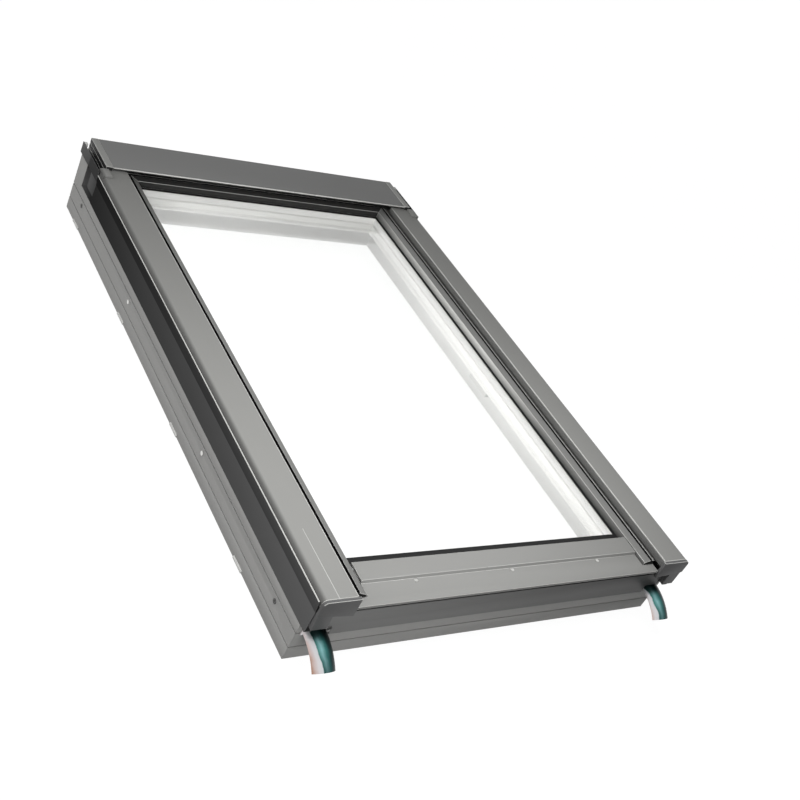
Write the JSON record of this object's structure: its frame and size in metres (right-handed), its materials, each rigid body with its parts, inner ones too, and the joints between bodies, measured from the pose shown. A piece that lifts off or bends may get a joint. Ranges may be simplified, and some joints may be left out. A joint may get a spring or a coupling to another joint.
{
  "type": "roof skylight",
  "caption": "Centre-pivot roof window with a grey frame, side claddings, top hood, glazed sash on level pivots and a locking handle.",
  "frame": {"origin": "bottom centre of the bounding box, in the plane of the frame's room-side face", "axes": "+X to the right seen from outside, +Y up the roof slope along the length, +Z to the weather side"},
  "size_m": [0.7836, 1.2594, 0.1595],
  "materials": {
    "frame_pvc": "satin",
    "sash_pvc": "satin",
    "grey_cladding": "powder coated, satin",
    "dark_cladding": "powder coated, satin",
    "glass": "clear",
    "rubber": "matt",
    "steel": "zinc plated",
    "passivated_steel": "passivated, slightly iridescent",
    "handle_plastic": "satin",
    "pale_plastic": "matt"
  },
  "bodies": {
    "frame": {"frame_rail_left": "frame_pvc", "frame_rail_right": "frame_pvc", "frame_rail_top": "frame_pvc", "frame_rail_bottom": "frame_pvc", "side_gutter_left": "dark_cladding", "side_gutter_right": "dark_cladding", "front_cover": "grey_cladding", "side_cladding_left": "grey_cladding", "side_cladding_right": "grey_cladding", "cladding_cap_left": "dark_cladding", "cladding_cap_right": "dark_cladding", "cladding_tab_left": "grey_cladding", "cladding_tab_right": "grey_cladding", "top_hood": "dark_cladding", "hood_end_left": "grey_cladding", "hood_end_right": "grey_cladding", "hood_wing_left": "dark_cladding", "hood_wing_right": "dark_cladding", "weather_seal": "rubber", "hinge_plate_left": "steel", "hinge_plate_right": "steel", "striker_plate": "steel", "apron_tongue_left": "passivated_steel", "apron_tongue_right": "passivated_steel", "edge_pads": "pale_plastic", "frame_screws": "steel"},
    "sash": {"sash_rail_left": "sash_pvc", "sash_rail_right": "sash_pvc", "sash_rail_top": "sash_pvc", "sash_rail_bottom": "sash_pvc", "outer_pane": "glass", "inner_pane": "glass", "pane_spacer": "rubber", "outer_gasket": "rubber", "inner_gasket": "rubber", "glazing_strip_left": "grey_cladding", "glazing_strip_right": "grey_cladding", "glazing_strip_top": "grey_cladding", "sash_bottom_cover": "grey_cladding", "cover_screws": "steel", "hinge_arm_left": "steel", "hinge_arm_right": "steel", "lock_plate": "steel", "handle_rose": "handle_plastic"},
    "handle": {"handle_lever": "handle_plastic", "handle_spindle": "steel"},
    "bolt": {"lock_bolt": "steel"}
  },
  "joints": [
    {"name": "sash_pivot", "type": "hinge", "parent": "frame", "child": "sash", "pos_m": [0, 0.02665, 0.058], "axis": [-1, 0, 0], "range_deg": [0, 150]},
    {"name": "handle_turn", "type": "hinge", "parent": "sash", "child": "handle", "pos_m": [0, -0.50235, 0.06], "axis": [0, 0, 1], "range_deg": [0, 90]},
    {"name": "bolt_slide", "type": "slide", "parent": "sash", "child": "bolt", "axis": [0, -1, 0], "range_m": [0, 0.01]}
  ],
  "couplings": [
    {"joint": "bolt_slide", "follows": "handle_turn", "m_per_rad": 0.006366}
  ]
}
